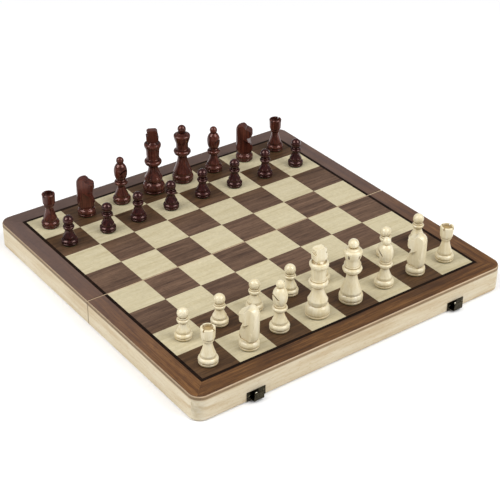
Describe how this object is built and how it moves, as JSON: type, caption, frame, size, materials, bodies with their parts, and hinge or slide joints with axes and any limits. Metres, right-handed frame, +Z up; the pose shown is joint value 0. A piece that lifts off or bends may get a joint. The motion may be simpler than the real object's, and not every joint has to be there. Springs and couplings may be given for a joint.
{
  "type": "chess box with hinged lid",
  "caption": "Folding wooden chess box opened flat as a board: two hinged half-boxes with bronze latches, inlaid walnut and maple squares, and a full set of turned men.",
  "frame": {"origin": "on the surface that the open box stands on, under the middle of the seam between the two halves", "axes": "+X to the right along the front latch edge, from the a file to the h file; +Y from the front half to the back half; +Z up out of the playing surface"},
  "size_m": [0.381, 0.3926, 0.1048],
  "materials": {
    "pine": "satin varnish",
    "plywood": "satin varnish",
    "walnut": "satin varnish",
    "maple": "satin varnish",
    "black_dye": "satin varnish",
    "green_felt": "felt",
    "brass": "polished",
    "bronze": "antique",
    "stained_wood": "gloss lacquer",
    "ivory_wood": "gloss lacquer"
  },
  "bodies": {
    "front_half": {"front_latch_wall": "pine", "front_side_walls": "pine", "front_hinge_wall": "pine", "front_panel": "plywood", "front_border_veneer": "walnut", "front_inlay_line": "black_dye", "front_dark_squares": "walnut", "front_light_squares": "maple", "front_felt_lining": "green_felt", "front_hinge_leaves": "brass", "hinge_pins": "brass", "front_fasteners": "bronze", "latch_keepers": "bronze"},
    "back_half": {"back_latch_wall": "pine", "back_side_walls": "pine", "back_hinge_wall": "pine", "back_panel": "plywood", "back_border_veneer": "walnut", "back_inlay_line": "black_dye", "back_dark_squares": "walnut", "back_light_squares": "maple", "back_felt_lining": "green_felt", "back_hinge_leaves": "brass", "back_fasteners": "bronze", "latch_plates": "bronze", "latch_pins": "brass"},
    "latch_lever_left": {"latch_lever_left": "bronze"},
    "latch_lever_right": {"latch_lever_right": "bronze"},
    "light_rook_a1": {"light_rook_a1": "ivory_wood"},
    "light_knight_b1": {"light_knight_b1": "ivory_wood"},
    "light_bishop_c1": {"light_bishop_c1": "ivory_wood"},
    "light_king_d1": {"light_king_d1": "ivory_wood"},
    "light_queen_e1": {"light_queen_e1": "ivory_wood"},
    "light_bishop_f1": {"light_bishop_f1": "ivory_wood"},
    "light_knight_g1": {"light_knight_g1": "ivory_wood"},
    "light_rook_h1": {"light_rook_h1": "ivory_wood"},
    "light_pawn_a2": {"light_pawn_a2": "ivory_wood"},
    "light_pawn_b2": {"light_pawn_b2": "ivory_wood"},
    "light_pawn_c2": {"light_pawn_c2": "ivory_wood"},
    "light_pawn_d2": {"light_pawn_d2": "ivory_wood"},
    "light_pawn_e2": {"light_pawn_e2": "ivory_wood"},
    "light_pawn_f2": {"light_pawn_f2": "ivory_wood"},
    "light_pawn_g2": {"light_pawn_g2": "ivory_wood"},
    "light_pawn_h2": {"light_pawn_h2": "ivory_wood"},
    "dark_rook_a8": {"dark_rook_a8": "stained_wood"},
    "dark_knight_b8": {"dark_knight_b8": "stained_wood"},
    "dark_bishop_c8": {"dark_bishop_c8": "stained_wood"},
    "dark_king_d8": {"dark_king_d8": "stained_wood"},
    "dark_queen_e8": {"dark_queen_e8": "stained_wood"},
    "dark_bishop_f8": {"dark_bishop_f8": "stained_wood"},
    "dark_knight_g8": {"dark_knight_g8": "stained_wood"},
    "dark_rook_h8": {"dark_rook_h8": "stained_wood"},
    "dark_pawn_a7": {"dark_pawn_a7": "stained_wood"},
    "dark_pawn_b7": {"dark_pawn_b7": "stained_wood"},
    "dark_pawn_c7": {"dark_pawn_c7": "stained_wood"},
    "dark_pawn_d7": {"dark_pawn_d7": "stained_wood"},
    "dark_pawn_e7": {"dark_pawn_e7": "stained_wood"},
    "dark_pawn_f7": {"dark_pawn_f7": "stained_wood"},
    "dark_pawn_g7": {"dark_pawn_g7": "stained_wood"},
    "dark_pawn_h7": {"dark_pawn_h7": "stained_wood"}
  },
  "joints": [
    {"name": "lid_fold", "type": "hinge", "parent": "front_half", "child": "back_half", "pos_m": [0, 0, 0.0016], "axis": [1, 0, 0], "range_deg": [-180, 0]},
    {"name": "latch_left", "type": "hinge", "parent": "back_half", "child": "latch_lever_left", "pos_m": [-0.1245, 0.1946, 0.0061], "axis": [1, 0, 0], "range_deg": [-180, 0]},
    {"name": "latch_right", "type": "hinge", "parent": "back_half", "child": "latch_lever_right", "pos_m": [0.1245, 0.1946, 0.0061], "axis": [1, 0, 0], "range_deg": [-180, 0]},
    {"name": "lift_light_rook_a1", "type": "slide", "parent": "front_half", "child": "light_rook_a1", "axis": [0, 0, 1], "range_m": [0, 0.1]},
    {"name": "lift_light_knight_b1", "type": "slide", "parent": "front_half", "child": "light_knight_b1", "axis": [0, 0, 1], "range_m": [0, 0.1]},
    {"name": "lift_light_bishop_c1", "type": "slide", "parent": "front_half", "child": "light_bishop_c1", "axis": [0, 0, 1], "range_m": [0, 0.1]},
    {"name": "lift_light_king_d1", "type": "slide", "parent": "front_half", "child": "light_king_d1", "axis": [0, 0, 1], "range_m": [0, 0.1]},
    {"name": "lift_light_queen_e1", "type": "slide", "parent": "front_half", "child": "light_queen_e1", "axis": [0, 0, 1], "range_m": [0, 0.1]},
    {"name": "lift_light_bishop_f1", "type": "slide", "parent": "front_half", "child": "light_bishop_f1", "axis": [0, 0, 1], "range_m": [0, 0.1]},
    {"name": "lift_light_knight_g1", "type": "slide", "parent": "front_half", "child": "light_knight_g1", "axis": [0, 0, 1], "range_m": [0, 0.1]},
    {"name": "lift_light_rook_h1", "type": "slide", "parent": "front_half", "child": "light_rook_h1", "axis": [0, 0, 1], "range_m": [0, 0.1]},
    {"name": "lift_light_pawn_a2", "type": "slide", "parent": "front_half", "child": "light_pawn_a2", "axis": [0, 0, 1], "range_m": [0, 0.1]},
    {"name": "lift_light_pawn_b2", "type": "slide", "parent": "front_half", "child": "light_pawn_b2", "axis": [0, 0, 1], "range_m": [0, 0.1]},
    {"name": "lift_light_pawn_c2", "type": "slide", "parent": "front_half", "child": "light_pawn_c2", "axis": [0, 0, 1], "range_m": [0, 0.1]},
    {"name": "lift_light_pawn_d2", "type": "slide", "parent": "front_half", "child": "light_pawn_d2", "axis": [0, 0, 1], "range_m": [0, 0.1]},
    {"name": "lift_light_pawn_e2", "type": "slide", "parent": "front_half", "child": "light_pawn_e2", "axis": [0, 0, 1], "range_m": [0, 0.1]},
    {"name": "lift_light_pawn_f2", "type": "slide", "parent": "front_half", "child": "light_pawn_f2", "axis": [0, 0, 1], "range_m": [0, 0.1]},
    {"name": "lift_light_pawn_g2", "type": "slide", "parent": "front_half", "child": "light_pawn_g2", "axis": [0, 0, 1], "range_m": [0, 0.1]},
    {"name": "lift_light_pawn_h2", "type": "slide", "parent": "front_half", "child": "light_pawn_h2", "axis": [0, 0, 1], "range_m": [0, 0.1]},
    {"name": "lift_dark_rook_a8", "type": "slide", "parent": "back_half", "child": "dark_rook_a8", "axis": [0, 0, 1], "range_m": [0, 0.1]},
    {"name": "lift_dark_knight_b8", "type": "slide", "parent": "back_half", "child": "dark_knight_b8", "axis": [0, 0, 1], "range_m": [0, 0.1]},
    {"name": "lift_dark_bishop_c8", "type": "slide", "parent": "back_half", "child": "dark_bishop_c8", "axis": [0, 0, 1], "range_m": [0, 0.1]},
    {"name": "lift_dark_king_d8", "type": "slide", "parent": "back_half", "child": "dark_king_d8", "axis": [0, 0, 1], "range_m": [0, 0.1]},
    {"name": "lift_dark_queen_e8", "type": "slide", "parent": "back_half", "child": "dark_queen_e8", "axis": [0, 0, 1], "range_m": [0, 0.1]},
    {"name": "lift_dark_bishop_f8", "type": "slide", "parent": "back_half", "child": "dark_bishop_f8", "axis": [0, 0, 1], "range_m": [0, 0.1]},
    {"name": "lift_dark_knight_g8", "type": "slide", "parent": "back_half", "child": "dark_knight_g8", "axis": [0, 0, 1], "range_m": [0, 0.1]},
    {"name": "lift_dark_rook_h8", "type": "slide", "parent": "back_half", "child": "dark_rook_h8", "axis": [0, 0, 1], "range_m": [0, 0.1]},
    {"name": "lift_dark_pawn_a7", "type": "slide", "parent": "back_half", "child": "dark_pawn_a7", "axis": [0, 0, 1], "range_m": [0, 0.1]},
    {"name": "lift_dark_pawn_b7", "type": "slide", "parent": "back_half", "child": "dark_pawn_b7", "axis": [0, 0, 1], "range_m": [0, 0.1]},
    {"name": "lift_dark_pawn_c7", "type": "slide", "parent": "back_half", "child": "dark_pawn_c7", "axis": [0, 0, 1], "range_m": [0, 0.1]},
    {"name": "lift_dark_pawn_d7", "type": "slide", "parent": "back_half", "child": "dark_pawn_d7", "axis": [0, 0, 1], "range_m": [0, 0.1]},
    {"name": "lift_dark_pawn_e7", "type": "slide", "parent": "back_half", "child": "dark_pawn_e7", "axis": [0, 0, 1], "range_m": [0, 0.1]},
    {"name": "lift_dark_pawn_f7", "type": "slide", "parent": "back_half", "child": "dark_pawn_f7", "axis": [0, 0, 1], "range_m": [0, 0.1]},
    {"name": "lift_dark_pawn_g7", "type": "slide", "parent": "back_half", "child": "dark_pawn_g7", "axis": [0, 0, 1], "range_m": [0, 0.1]},
    {"name": "lift_dark_pawn_h7", "type": "slide", "parent": "back_half", "child": "dark_pawn_h7", "axis": [0, 0, 1], "range_m": [0, 0.1]}
  ]
}
